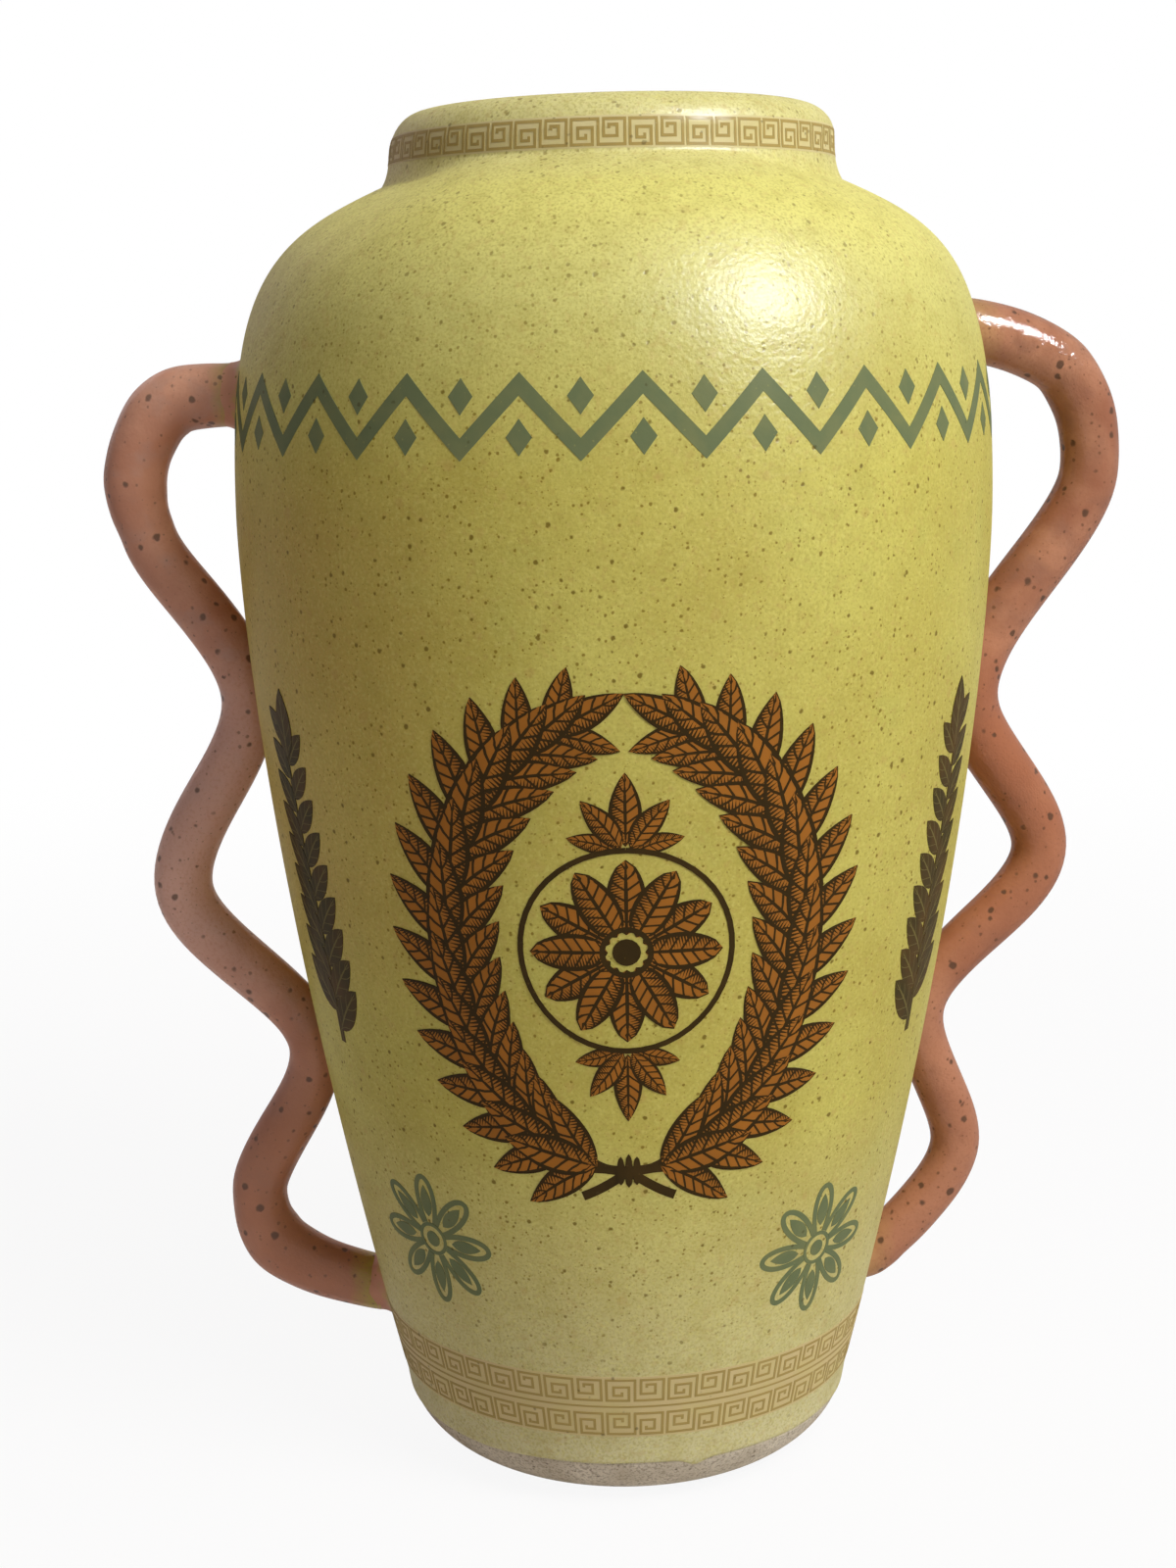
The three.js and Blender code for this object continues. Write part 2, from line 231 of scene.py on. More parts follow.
def limeGlaze(look):
    # broad tones by place and height, among them painted sheen on the shoulder and painted shade on the left
    # side, a sandy grain over them, then blushes and specks of three sizes
    n = newMaterial("speckled lime glaze", roughness=0.46, coat=0.27, coatRoughness=0.4)
    body = n.tint(look["deep"], look, "clouds")
    across, _, height = n.axes(n.place)
    for tone, most, start, end in look["heights"]:
        body = n.fade(body, look[tone], height, start, end, most)
    # painted shade: brown laid over the middle of the left side, stronger further to the left
    shadedSideShare = n.spread(n.plus(across, n.noise(40), 0.03), *look["shadedSideAcross"])
    middle = n.between(height, look["shadedSideOver"], look["shadedSideUnder"])
    plain = n.tint(n.over(body, look["shadedSideBrown"], middle, shadedSideShare), look, "grains")
    body, spots = n.strew(plain, look, "specks")
    fewer = [n.spread(height, *look[place]) for place in ("fewerByFoot", "fewerOnShoulder")]
    body = n.mix(n.maths("MAXIMUM", *fewer), body, plain)
    peel = n.maths("ADD", n.noise(1.5, 2.0), n.noise(6, 1.0))
    return n.finish(body, n.plus(peel, spots, -0.4), strength=0.3, distance=0.4, coatDistance=0.72)


# the same coral glaze twice: the left copy is painted paler and greyer than the right, as painted light and
# painted sheen
coralGlazeLooks = dict(
    right=dict(
        pale=paint(184, 129, 99),
        deep=paint(154, 99, 73),
        grey=paint(138, 96, 78),
        middle=paint(169, 105, 73),
        low=paint(178, 120, 90),
        wash=0.2,
        speck=paint(84, 60, 44),
        fineSpeck=paint(106, 72, 52),
    ),
    left=dict(  # the paler of the two, by painted light and painted sheen, since this handle lies in the jar's shade
        pale=paint(217, 161, 132),
        deep=paint(196, 136, 107),
        grey=paint(188, 150, 134),
        # painted sheen: a pale greyish pink band round the coil's middle
        middle=paint(228, 186, 168),
        low=paint(182, 121, 90),
        wash=0.85,
        speck=paint(112, 86, 72),
        fineSpeck=paint(140, 104, 86),
    ),
)
coralPattern = dict(
    clouds=(("pale", 1.0, 24, 3.0, 0.36, 0.64), ("grey", 0.6, 11, 3.0, 0.5, 0.72)),
    middleOver=(0.13, 0.17),
    middleUnder=(0.27, 0.23),
    lowUnder=(0.15, 0.11),
    # the wall's glaze runs up the coil's ends: metres out from the axis and above the floor
    washes=(((0.127, 0.119), (0.31, 0.32)), ((0.094, 0.086), (0.07, 0.06))),
    grains=(("deep", 0.4, 1.1, 2.0, 0.5, 0.75),),
    specks=(
        ("fineSpeck", 0.5, 1.5, 0.8, 0.36),
        ("fineSpeck", 0.75, 2.6, 0.85, 0.8),
        ("speck", 0.85, 4.6, 0.7, 1.7, 0.6, 0.3),
    ),
)


def coralGlaze(side, look):
    # broad tones by place and height, the washes at the ends, a sandy grain and specks
    n = newMaterial(f"spotted coral glaze {side}", roughness=0.42, coat=0.3, coatRoughness=0.1)
    body = n.tint(look["deep"], look, "clouds")
    x, y, height = n.axes(n.place)
    middle = n.between(height, look["middleOver"], look["middleUnder"])
    body = n.over(body, look["middle"], middle, 0.7)
    body = n.fade(body, look["low"], height, *look["lowUnder"], 0.6)
    out = n.maths("SQRT", n.plus(n.maths("MULTIPLY", x, x), y, y))
    out = n.plus(out, n.noise(4, 2.0), 0.004)
    for across, up in look["washes"]:
        inwards = n.spread(out, *across, 0.0, look["wash"])
        body = n.over(body, limeGlazeLook["deep"], inwards, n.spread(height, *up))
    body, spots = n.strew(n.tint(body, look, "grains"), look, "specks")
    peel = n.plus(n.noise(1.2, 2.0), n.noise(7, 1.0), 2.0)
    return n.finish(body, n.plus(peel, spots, -0.6), strength=0.32, distance=0.4, coatDistance=0.6)


rawClayLook = dict(
    pale=paint(218, 207, 185),
    deep=paint(192, 179, 155),
    grit=paint(112, 98, 80),
    sand=paint(146, 132, 112),
    clouds=(
        ("pale", 1.0, 16, 4.0, 0.38, 0.66),
        ("sand", 0.7, 0.7, 2.0, 0.54, 0.68),
        ("sand", 0.6, 1.3, 2.0, 0.52, 0.66),
    ),
    specks=(("sand", 0.6, 1.3, 0.8, 0.45), ("grit", 0.8, 2.2, 0.8, 0.7)),
    standingShade=paint(120, 112, 98),  # painted shade: the edge it stands on, darkened as by its contact shadow
    standingShadeBetween=(0.0042, 0.0018),
)


def rawClay(look):
    # soft clouds with a sandy grain, painted shade on the standing edge, and grit of two sizes
    n = newMaterial("bare grogged clay", roughness=0.92, specular=0.25)
    body = n.tint(look["deep"], look, "clouds")
    height = n.axes(n.place)["Z"]
    # painted shade darkens the lowest few millimetres
    body = n.fade(body, look["standingShade"], height, *look["standingShadeBetween"], 0.8)
    body, grit = n.strew(body, look, "specks")
    return n.finish(body, n.plus(n.noise(0.7, 2.0), grit, -0.5), strength=0.5, distance=0.25)


inkFinish = dict(roughness=0.5, coat=0.14, coatRoughness=0.3)
inkBumps = dict(strength=0.12, distance=0.3)
inkFleck = paint(74, 62, 36)
leafCloud = paint(120, 76, 30)


def wornInk(name, ink, bare, wear):
    # an even print with a few pinholes and cloudy thin places where the glaze shows
    n = newMaterial(name, **inkFinish)
    body = n.fade(ink, bare, n.noise(9, 4.0), 0.42, 0.75, wear * 2)
    body = n.over(body, bare, n.specks(1.6, 0.6, 0.36), 0.6)
    body = n.over(body, inkFleck, n.specks(3.4, 0.7, 0.8), 0.5)
    return n.finish(body, n.noise(1.5, 2.0), **inkBumps)


def leafInk(name, fill, line, look):
    # U runs across a leaf and V along it: dark edge, midrib, slanting veins, and fine hatching on one half
    n = newMaterial(name, **inkFinish)
    across, along, _ = n.axes(n.add("TexCoord").outputs["UV"])
    off = n.maths("ABSOLUTE", n.plus(-1.0, across, 2.0))
    slant = n.plus(n.plus(4.0, along, look["veins"]), off, -1.1)
    vein = n.maths("LESS_THAN", n.maths("FRACT", slant), look["veinShare"])
    fine = n.maths("FRACT", n.plus(n.maths("MULTIPLY", along, look["hatch"]), off, 2.0))
    shade = n.maths("LESS_THAN", fine, n.spread(across, 0.02, 0.46, look["hatchShare"], 0.0))
    edge = n.maths("GREATER_THAN", off, look["outline"])
    rib = n.maths("LESS_THAN", off, look["midrib"])
    drawn = n.maths("MAXIMUM", n.maths("MAXIMUM", vein, shade), n.maths("MAXIMUM", edge, rib))
    tone = n.fade(fill, leafCloud, n.noise(12), 0.35, 0.7, 0.3)
    return n.finish(n.mix(drawn, tone, line), n.noise(1.5, 2.0), **inkBumps)


def rootGlaze(side, wall, coil):
    # V climbs from the wall to the coil: the wall's glaze runs into the coil's along a ragged edge
    n = newMaterial(f"lime running into coral {side}", roughness=0.46, coat=0.26, coatRoughness=0.3)
    climb = n.axes(n.add("TexCoord").outputs["UV"])["Y"]
    ragged = n.plus(climb, n.noise(3), 0.8)
    under = n.fade(wall["deep"], wall["green"], n.noise(8), 0.38, 0.64)
    over = n.fade(coil["deep"], coil["pale"], n.noise(24), 0.36, 0.64)
    body = n.fade(under, over, ragged, 0.5, 1.0)
    body = n.over(body, wall["middleSpeck"], n.specks(2.1, 0.85, 0.6), 0.7)
    return n.finish(body, n.noise(1.6, 2.0), strength=0.3, distance=0.4)


wreathLines = dict(veins=7.0, veinShare=0.24, hatch=26.0, hatchShare=0.95, outline=0.76, midrib=0.1)
# no hatching and no outline on the sprigs
sprigLines = dict(veins=4.0, veinShare=0.07, hatch=1.0, hatchShare=0.0, outline=2.0, midrib=0.07)

lime = limeGlaze(limeGlazeLook)
corals = {side: coralGlaze(side, {**coralPattern, **look}) for side, look in coralGlazeLooks.items()}
limeIntoCoral = {side: rootGlaze(side, limeGlazeLook, look) for side, look in coralGlazeLooks.items()}
bareClay = rawClay(rawClayLook)
sandInk = wornInk("sand coloured band ink", paint(171, 149, 88), paint(190, 168, 106), 0.15)
neckGroundInk = wornInk("pale neck band ground", paint(213, 200, 148), paint(208, 197, 130), 0.3)
footGroundInk = wornInk("pale foot band ground", paint(208, 189, 137), paint(206, 194, 126), 0.3)
tealInk = wornInk("grey teal ink", paint(108, 118, 82), paint(144, 142, 88), 0.16)
umberInk = wornInk("dark umber ink", paint(56, 42, 14), paint(90, 66, 26), 0.14)
oliveInk = leafInk("olive leaf ink", paint(60, 51, 16), paint(108, 96, 46), sprigLines)
wreathInk = leafInk("wreath leaf ink", paint(164, 104, 36), paint(54, 40, 12), wreathLines)
print("glazes and inks mixed")


# Meshes

sharpFrom = radians(50)  # edges that turn by more stay sharp


def unit(vectors):
    # vectors divided by their lengths
    return vectors / np.linalg.norm(vectors, axis=-1, keepdims=True)


def evenTurns(count):
    # angles all round, the last one short of the first
    return np.linspace(0, 2 * pi, count, endpoint=False)


def gridFaces(rows, columns, closeRows=False):
    # quads between neighbouring rows and columns of a grid numbered row by row; its columns always close up
    row = np.arange(rows if closeRows else rows - 1)[:, None]
    column = np.arange(columns)[None]
    nextRow, nextColumn = (row + 1) % rows, (column + 1) % columns
    corners = ((row, column), (row, nextColumn), (nextRow, nextColumn), (nextRow, column))
    return np.stack([(a * columns + b).ravel() for a, b in corners], 1)


def outwards(points, faces):
    # turns all faces round where the sum of corner triple products, six times the volume, is negative
    a, b, c, d = (points[faces[:, k]] for k in range(4))
    volume = np.einsum("ij,ij", a, np.cross(b, c)) + np.einsum("ij,ij", a, np.cross(c, d))
    return faces if volume > 0 else faces[:, ::-1]


def shell(rings, closeRows=False):
    # a closed skin over a stack of rings, whose first and last rings are shut with a pole each or joined up
    rows, columns = rings.shape[:2]
    points = rings.reshape(-1, 3)
    faces = gridFaces(rows, columns, closeRows)
    if not closeRows:
        ring = np.arange(columns)
        follow, top = (ring + 1) % columns, (rows - 1) * columns
        low, high = np.full(columns, rows * columns), np.full(columns, rows * columns + 1)
        points = np.concatenate([points, rings[0].mean(0)[None], rings[-1].mean(0)[None]])
        fans = [np.stack([follow, ring, low, low], 1), np.stack([top + ring, top + follow, high, high], 1)]
        faces = np.concatenate([faces, *fans])
    return points, outwards(points, faces)


def putPiece(name, parts, material, replaces=(), uvs=None):
    # parts are (points in millimetres, quads) pairs; a quad with the same corner twice becomes a triangle
    starts = np.cumsum([0] + [len(points) for points, faces in parts])
    points = np.concatenate([points for points, faces in parts]) * mm
    faces = np.concatenate([faces + start for (_, faces), start in zip(parts, starts)])
    isQuad = np.array([faces[:, k] != faces[:, (k + 1) % 4] for k in range(4)]).all(0)
    three = faces[~isQuad]
    repeated = np.array([three[:, k] == three[:, (k + 1) % 4] for k in range(4)])
    three = three[~repeated.T].reshape(-1, 3)
    mesh = bpy.data.meshes.new(name)
    mesh.from_pydata(points.tolist(), [], faces[isQuad].tolist() + three.tolist())
    if uvs is not None:
        corners = np.zeros(len(mesh.loops), np.int32)
        mesh.loops.foreach_get("vertex_index", corners)
        layer = mesh.uv_layers.new(name="print")
        layer.data.foreach_set("uv", np.concatenate(uvs)[corners].ravel())
    mesh.shade_smooth()
    mesh.set_sharp_from_angle(angle=sharpFrom)
    mesh.materials.append(material)
    piece = newObject(name, mesh)
    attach(piece, "root")
    if replaces:
        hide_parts(*replaces)


def ease(low, high, value):
    # 0 below low, 1 above high, and a smooth S between them
    share = np.clip((value - low) / (high - low), 0, 1)
    return share * share * (3 - 2 * share)


def bezier(points, t):
    # each of the n + 1 control points counts by n over k, times t to the k, times 1 - t to the n - k
    n = len(points) - 1
    return np.stack([comb(n, k) * t ** k * (1 - t) ** (n - k) for k in range(n + 1)], 1) @ np.array(points)


# The jar

jar = dict(
    height=421.8,
    bellyRadius=116.5,
    bellyHeight=302.0,
    standingRadius=48.0,
    footRounding=25.0,
    wallStart=radians(-7),
    swell=1.56,
    shoulderRise=72.9,
    creaseRadius=69.9,
    creaseHeight=399.3,
    creaseReach=35.4,
    creaseSlope=radians(24),
    collarRadius=67.2,
    collarBend=4.0,
    collarWall=12.0,
    lipRounding=10.0,
    lipTall=11.0,
    lipUneven=2.0,
    innerLip=4.0,
    wall=7.0,
    neckShift=0.9,  # the neck was pulled a little to the right
    shiftBetween=(355, 400),
    rimDip=1.0,  # and the rim sinks on the left
    dipBetween=(398, 416),
    crown=4.2,  # before and behind the neck the shoulder stands higher
    crownFrom=368,
    crownTo=405.2,
    crownFacing=(0.28, 0.82),
    columns=288,
)
glazeRoll = dict(
    line=16.2,
    waves=((2, 0.45, 0.6), (5, 0.3, 2.1), (13, 0.16, 0.4)),  # how many round the jar, height and start
    dripAngle=radians(17),
    dripLength=2.2,
    dripHalf=0.045,
    top=24.0,  # the plain wall starts here
    # height over the edge, and thickness there
    profile=(
        (0, 0.02), (0.12, 0.18), (0.4, 0.28), (0.9, 0.3), (1.6, 0.22), (2.6, 0.12), (4, 0.05), (5.8, 0.0),
    ),
)
# sections that don't show, each point a radius and a height; the floor is 10 thick
hidden = dict(
    footUnder=[(0.01, 0), (16, 0), (32, 0), (44, 0)],
    footArcEnd=-0.48,
    footTop=[(66.9, 17.6), (64.9, 13), (60.2, 10.3), (52, 9.1), (25, 9.1), (0.01, 9.1)],
    wallUnder=[(0.01, 9.4), (25, 9.4), (52, 9.4), (60, 10.7), (64.6, 13.4), (66.6, 17.9)],
    collar=(412, 406, 401, 400),
    collarBend=395.5,
    hollowFrom=(72, 30),
    hollowFloor=[(67, 24), (65.2, 18), (62, 14.2), (57, 11.4), (50, 10.2), (30, 10), (0.01, 10)],
    ridge=0.5,  # the rings that the potter's fingers left
    ridgePitch=13,
    ridgesOver=(30, 70),
    ridgesUnder=(350, 385),
)


def footArc(j, start, end, count):
    # the rounding of the foot as radius and height, between two angles of its circle
    angle = np.linspace(start, end, count)
    rim = j["footRounding"] * np.stack([np.cos(angle), np.sin(angle)], 1)
    return rim + [j["standingRadius"], j["footRounding"]]


def outsideCurve(j):
    # foot arc, then belly - (belly - start) (1 - share) ^ swell, then Bezier curves over shoulder and collar
    foot = footArc(j, -pi / 2 + 0.02, j["wallStart"], 70)
    startR, startZ = foot[-1]
    share = np.linspace(0, 1, 110)[1:]
    wallR = j["bellyRadius"] - (j["bellyRadius"] - startR) * (1 - share) ** j["swell"]
    wallZ = startZ + (j["bellyHeight"] - startZ) * share
    reach, slope = j["creaseReach"], j["creaseSlope"]
    crease = (j["creaseRadius"], j["creaseHeight"])
    shoulder = [
        (j["bellyRadius"], j["bellyHeight"]),
        (j["bellyRadius"], j["bellyHeight"] + j["shoulderRise"]),
        (j["creaseRadius"] + reach * cos(slope), j["creaseHeight"] - reach * sin(slope)),
        crease,
    ]
    collar = [
        crease,
        (j["collarRadius"], j["creaseHeight"] + j["collarBend"]),
        (j["collarRadius"], j["height"] - j["lipRounding"]),
    ]
    curves = [bezier(shoulder, np.linspace(0, 1, 64)[1:]), bezier(collar, np.linspace(0, 1, 18)[1:])]
    return np.concatenate([foot, np.stack([wallR, wallZ], 1), *curves]).T


outsideR, outsideZ = outsideCurve(jar)


def lipHeight(angle):
    # the lip is rounder on the left than on the right
    return jar["lipTall"] - jar["lipUneven"] * np.sin(angle)


def jarRadius(height, angle=0.0):
    # the outside curve read at a height; past the lip's start, a quarter ellipse as tall as lipHeight
    radius = np.interp(height, outsideZ, outsideR)
    tall = lipHeight(angle)
    over = np.clip((height - jar["height"] + tall) / tall, 0, 1)
    lip = jar["collarRadius"] - jar["lipRounding"] * (1 - np.sqrt(1 - over ** 2))
    return np.where(over > 0, lip, radius)


def handMade(points):
    # carries points along with the neck: to the right above the shoulder, down on the left of the rim,
    # and up where the shoulder meets the neck in front and behind; each move is eased in and out
    x, y, z = np.moveaxis(points, -1, 0)
    left = 0.5 - 0.5 * x / jar["collarRadius"]
    facing = ease(*jar["crownFacing"], y * y / (x * x + y * y + 1e-6))
    fall = np.interp(z, [jar["creaseHeight"], jar["crownTo"]], [1, 0])
    crown = jar["crown"] * facing * ease(jar["crownFrom"], jar["creaseHeight"], z) * fall
    dip = jar["rimDip"] * left * left * ease(*jar["dipBetween"], z)
    return np.stack([x + jar["neckShift"] * ease(*jar["shiftBetween"], z), y, z + crown - dip], -1)


def roundJar(radius, height, angle):
    # cylinder coordinates to points, before the neck is moved
    radius, height, angle = np.broadcast_arrays(radius, height, angle)
    return np.stack([radius * np.sin(angle), -radius * np.cos(angle), height], -1)


around = evenTurns(jar["columns"])


def turned(rings):
    # a full ring of points for each radius and height, either of which may change round the jar
    return np.stack([roundJar(radius, height, around) for radius, height in rings])


def glazeEdge(g):
    # height of the glaze's lower edge round the foot: its line, sets of sine waves and one bell-shaped drip
    waves = sum(tall * np.sin(count * around + start) for count, tall, start in g["waves"])
    off = (around - g["dripAngle"] + pi) % (2 * pi) - pi
    return g["line"] + waves - g["dripLength"] * np.exp(-(off / g["dripHalf"]) ** 2)


edgeHeight = glazeEdge(glazeRoll)


def outsideRings(j, g, h):
    # from the middle of the floor's underside, out, up the wall and over the lip's two quarter ellipses
    over, tuck = edgeHeight + 0.5, h["wallUnder"][-1][1]
    rings = h["wallUnder"] + [(jarRadius(tuck) - 0.2, tuck), (jarRadius(over) - 0.12, over)]
    for rise, lift in g["profile"]:
        height = edgeHeight + rise * (g["top"] - edgeHeight) / (g["top"] - g["line"])
        rings.append((jarRadius(height) + lift, height))
    onWall = (outsideZ > g["top"]) & (outsideZ <= j["creaseHeight"])
    rings += list(zip(outsideR[onWall], outsideZ[onWall]))
    lipTall = lipHeight(around)
    lipStart = j["height"] - lipTall
    for share in np.linspace(0, 1, 15)[1:]:
        height = j["creaseHeight"] + (lipStart - j["creaseHeight"]) * share
        rings.append((jarRadius(height, around), height))
    middle = j["collarRadius"] - j["lipRounding"]
    for turn in np.linspace(0, pi / 2, 13)[1:]:
        rings.append((middle + j["lipRounding"] * cos(turn), lipStart + lipTall * sin(turn)))
    inner = j["collarWall"] - j["lipRounding"]
    for turn in np.linspace(0, pi / 2, 6)[1:]:
        rings.append((middle - inner * sin(turn), j["height"] - j["innerLip"] * (1 - cos(turn))))
    return rings


def insideRings(j, h):
    # the hollow: down the collar, round under the shoulder, then the outside moved in by the wall along its
    # normal, ringed by the fingers: a sine wave of one pitch that climbs as it goes round
    collar = j["collarRadius"] - j["collarWall"]
    slope = np.gradient(outsideR, outsideZ)
    lean = np.hypot(1, slope)
    inR, inZ = outsideR - j["wall"] / lean, outsideZ + j["wall"] * slope / lean
    keep = (inR > h["hollowFrom"][0]) & (inZ > h["hollowFrom"][1]) & (outsideZ < j["creaseHeight"])
    order = np.argsort(-inZ[keep])[::2]  # the hollow needs half the rings
    inR, inZ = inR[keep][order], inZ[keep][order]
    rings = [(collar, height) for height in h["collar"][:-1]]
    bend = [(collar, h["collar"][-1]), (collar, h["collarBend"]), (inR[0], inZ[0])]
    rings += list(bezier(bend, np.linspace(0, 1, 12)[1:-1]))
    for radius, height in zip(inR, inZ):
        ridge = h["ridge"] * np.sin(2 * pi * height / h["ridgePitch"] + around)
        fading = ease(*h["ridgesOver"], height) * (1 - ease(*h["ridgesUnder"], height))
        rings.append((radius + ridge * fading, height))
    return rings + h["hollowFloor"]


def makeJar(j, g, h):
    # one skin over the outside and the hollow, with the neck's unevenness
    rings = turned(outsideRings(j, g, h) + insideRings(j, h))
    sections = ("lower_wall", "middle_wall", "shoulder_wall", "neck_collar")
    putPiece("glazed_body", [shell(handMade(rings))], lime, sections)


def makeFoot(j, h):
    # the bare clay: flat underside, the rounding up to the glaze, and a ledge that the glazed wall covers
    arc = footArc(j, -pi / 2, h["footArcEnd"], 26)
    rings, top = h["footUnder"] + list(arc), arc[-1][1]
    for share, inset in ((0.5, 0.0), (1.0, 0.02)):
        height = top + (edgeHeight - 0.15 - top) * share
        rings.append((jarRadius(height) - inset, height))
    over, ledge = edgeHeight + 0.3, h["footTop"][0][1]
    rings += [(jarRadius(over) - 0.35, over), (jarRadius(ledge) - 0.5, ledge)]
    putPiece("bare_foot", [shell(turned(rings + h["footTop"]))], bareClay, ("foot",))


makeJar(jar, glazeRoll, hidden)
makeFoot(jar, hidden)
print("jar turned")


# The handles

handles = dict(
    left=dict(
        turn=radians(176),  # from +X towards the back
        upperRoot=338.5,
        lowerRoot=44.5,
        slopes=(0.0, -0.1),
        # share of the way down, how far the coil's middle stands off the wall, coil radius
        stops=[
            (0.0, 4, 9.8), (0.0116, 24.7, 10.4), (0.08, 34.7, 9.9), (0.151, 31.5, 8.8), (0.324, 5.3, 8.9),
            (0.541, 37.9, 9.4), (0.7185, 5.6, 8.6), (0.89, 36.3, 9.1), (0.956, 34.4, 10.2), (1.0, 4, 9),
        ],
        lumpStart=0.4,
    ),
    right=dict(
        turn=radians(12),
        upperRoot=354.0,
        lowerRoot=48.0,
        slopes=(0.1, -0.25),
        stops=[
            (0.0, 4, 10), (0.0425, 34, 9.7), (0.15, 41, 9.4), (0.3725, 5.1, 9.6), (0.557, 37.8, 9),
            (0.719, 5.4, 8.1), (0.887, 28, 8.2), (0.984, 11.5, 7.9), (1.0, 4, 7.7),
        ],
        lumpStart=2.7,
    ),
    rootDepth=10,
    rootRun=4,
    clear=2.6,  # the coil's rings start and end this far off the wall
    sides=48,
    steps=26,  # rings between two stops
    bedding=0.4,  # how far a coil sinks into the wall where it touches
    flattening=0.035,  # and how much it widens there
    lumps=0.013,
)


def apart(a, b):
    # the time between two stops: the root of their distance
    return np.sqrt(np.linalg.norm(b - a, axis=-1, keepdims=True))


def throughStops(stops, steps):
    # a centripetal Catmull-Rom curve: Hermite cubics whose end slopes come from the stops either side
    ends = np.concatenate([[2 * stops[0] - stops[1]], stops, [2 * stops[-1] - stops[-2]]])
    p0, p1, p2, p3 = (ends[k:len(ends) - 3 + k, None] for k in range(4))
    d0, d1, d2 = apart(p0, p1), apart(p1, p2), apart(p2, p3)
    m1 = ((p1 - p0) / d0 - (p2 - p0) / (d0 + d1) + (p2 - p1) / d1) * d1
    m2 = ((p2 - p1) / d1 - (p3 - p1) / (d1 + d2) + (p3 - p2) / d2) * d1
    t = np.linspace(0, 1, steps, endpoint=False)[None, :, None]
    curve = p1 + m1 * t + (3 * (p2 - p1) - 2 * m1 - m2) * t ** 2 + (2 * (p1 - p2) + m1 + m2) * t ** 3
    return curve.reshape(-1, 2)


def ontoJar(points, direction, lift):
    # slides points along a direction until they stand lift off the wall: a few steps of Newton's rule
    points = points.copy()
    for _ in range(8):
        away = np.hypot(points[..., 0], points[..., 1])
        pull = (points[..., 0] * direction[0] + points[..., 1] * direction[1]) / away
        points += ((jarRadius(points[..., 2]) + lift - away) / pull)[..., None] * direction
    return points


def rootLine(handle, which):
    # the point on the wall where a root's middle line comes out, and the way it goes
    height = handle["lowerRoot" if which else "upperRoot"]
    across = np.array([cos(handle["turn"]), sin(handle["turn"]), 0])
    way = across + np.array([0, 0, handle["slopes"][which]])
    return jarRadius(height) * across + np.array([0, 0, height]), unit(way)


def coilLine(handle, h):
    # the coil's middle line as radius and height, from inside one root to inside the other; its thickness
    # eases from stop to stop, and place counts the stops passed
    top, bottom, deep = handle["upperRoot"], handle["lowerRoot"], -h["rootDepth"]
    share, reach, thick = np.array(handle["stops"]).T
    height = top + (bottom - top) * share
    height[[0, -1]] += np.array(handle["slopes"]) * h["rootRun"]
    ends = np.array([top, bottom]) + np.array(handle["slopes"]) * deep
    height = np.concatenate([ends[:1], height, ends[1:]])
    reach = np.concatenate([[deep], reach, [deep]])
    thick = np.concatenate([thick[:1], thick, thick[-1:]])
    middle = throughStops(np.stack([jarRadius(height) + reach, height], 1), h["steps"])
    place = np.arange(len(middle)) / h["steps"]
    whole = np.floor(place).astype(int)
    soft = ease(0, 1, place - whole)
    radius = thick[whole] * (1 - soft) + thick[whole + 1] * soft
    first, last = np.flatnonzero(middle[:, 0] - jarRadius(middle[:, 1]) > h["clear"])[[0, -1]]
    return (values[first:last + 1] for values in (middle, radius, place))


def makeHandle(side, h):
    # rings square to the middle line, slightly lumpy by two products of sines and cosines; what would lie
    # under the wall's skin is moved out onto it, and the ends are slid on to the wall
    handle = h[side]
    middle, radius, place = coilLine(handle, h)
    along = unit(np.gradient(middle, axis=0))
    phase = evenTurns(h["sides"])
    seed, column = handle["lumpStart"], place[:, None]
    lumps = np.sin(5.1 * column + seed) * np.cos(2 * phase + seed + 0.8 * column)
    lumps += 0.7 * np.sin(11.3 * column + 3 * seed) * np.cos(phase + 1.3 * seed - 1.7 * column)
    grown = radius[:, None] * (1 + h["lumps"] * lumps)
    inPlane, beside = np.cos(phase) * grown, np.sin(phase) * grown
    out = middle[:, None, 0] + inPlane * along[:, None, 1]
    up = middle[:, None, 1] - inPlane * along[:, None, 0]
    press = np.clip(jarRadius(up) - np.hypot(out, beside), 0, None)  # how far the wall would cut in
    beside *= 1 + h["flattening"] * press.max(1, keepdims=True)
    turnCos, turnSin = cos(handle["turn"]), sin(handle["turn"])
    points = np.stack([out * turnCos - beside * turnSin, out * turnSin + beside * turnCos, up], -1)
    away = np.hypot(points[..., 0], points[..., 1])
    points[..., :2] *= np.maximum(1, (jarRadius(up) - h["bedding"]) / away)[..., None]
    upper, lower = (ontoJar(points[-k], rootLine(handle, k)[1], -h["bedding"])[None] for k in (0, 1))
    coil = shell(np.concatenate([upper, points, lower]))
    putPiece(side + "_coil", [coil], corals[side], (side + "_handle",))


roots = dict(
    rise=dict(left=6.0, right=4.2),  # how far the clay is drawn up the coil
    spread=dict(left=5.0, right=4.2),
    clear=0.12,  # between the flank's rim and the coil
    inside=0.9,  # how far into the coil the ring closes
    rim=0.3,
    sunk=0.6,  # and into the wall
    rows=12,
    sides=72,
)


